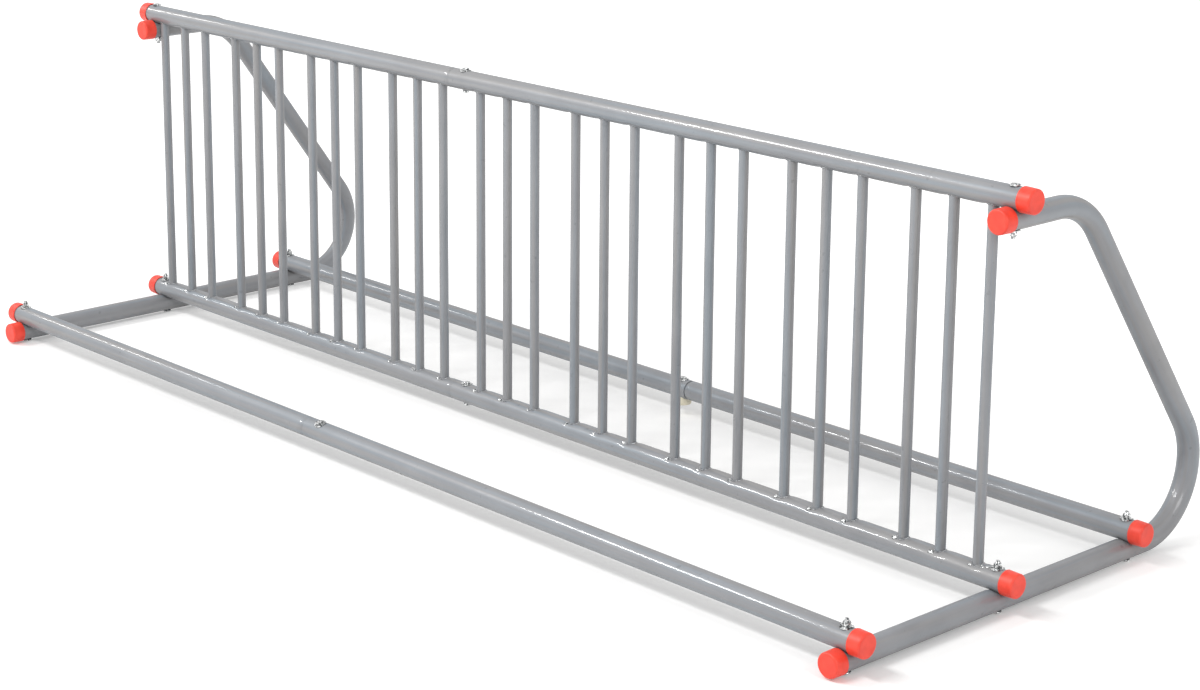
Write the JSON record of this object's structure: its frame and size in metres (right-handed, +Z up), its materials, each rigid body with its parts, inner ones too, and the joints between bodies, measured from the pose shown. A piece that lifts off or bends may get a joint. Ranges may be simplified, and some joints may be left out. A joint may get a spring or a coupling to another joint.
{
  "type": "floor bike rack",
  "caption": "Free-standing floor rack of steel tube: bent side frames carry rails and a grid of upright pickets that hold bicycle wheels from both sides.",
  "frame": {"origin": "middle of the bounding box's bottom face, on the floor the rack stands on", "axes": "X along the rack, from the left to the right end; +Y to the rear bends of the side frames; +Z up"},
  "size_m": [3.048, 1.1552, 0.8718],
  "materials": {
    "grey_steel": "grey coated steel tube, satin",
    "cap_vinyl": "orange-red soft vinyl, satin",
    "zinc_steel": "zinc-plated fasteners",
    "foot_rubber": "cream plastic"
  },
  "bodies": {
    "root": {"bolt_front_rail_left": "zinc_steel", "bolt_front_rail_right": "zinc_steel", "bolt_grid_rail_left": "zinc_steel", "bolt_grid_rail_right": "zinc_steel", "bolt_rear_rail_left": "zinc_steel", "bolt_rear_rail_right": "zinc_steel", "bolt_top_rail_left": "zinc_steel", "bolt_top_rail_right": "zinc_steel", "cap_floor_run_left": "cap_vinyl", "cap_floor_run_right": "cap_vinyl", "cap_front_rail_left": "cap_vinyl", "cap_front_rail_right": "cap_vinyl", "cap_grid_rail_left": "cap_vinyl", "cap_grid_rail_right": "cap_vinyl", "cap_rear_rail_left": "cap_vinyl", "cap_rear_rail_right": "cap_vinyl", "cap_top_rail_left": "cap_vinyl", "cap_top_rail_right": "cap_vinyl", "cap_upper_run_left": "cap_vinyl", "cap_upper_run_right": "cap_vinyl", "front_rail_left": "grey_steel", "front_rail_right": "grey_steel", "grid_rail_left": "grey_steel", "grid_rail_right": "grey_steel", "picket_01": "grey_steel", "picket_02": "grey_steel", "picket_03": "grey_steel", "picket_04": "grey_steel", "picket_05": "grey_steel", "picket_06": "grey_steel", "picket_07": "grey_steel", "picket_08": "grey_steel", "picket_09": "grey_steel", "picket_10": "grey_steel", "picket_11": "grey_steel", "picket_12": "grey_steel", "picket_13": "grey_steel", "picket_14": "grey_steel", "picket_15": "grey_steel", "picket_16": "grey_steel", "picket_17": "grey_steel", "picket_18": "grey_steel", "picket_19": "grey_steel", "picket_20": "grey_steel", "picket_21": "grey_steel", "picket_22": "grey_steel", "picket_23": "grey_steel", "picket_24": "grey_steel", "picket_25": "grey_steel", "picket_26": "grey_steel", "picket_27": "grey_steel", "rear_rail_foot": "foot_rubber", "rear_rail_left": "grey_steel", "rear_rail_right": "grey_steel", "side_frame_left": "grey_steel", "side_frame_right": "grey_steel", "top_rail_left": "grey_steel", "top_rail_right": "grey_steel"}
  },
  "joints": []
}
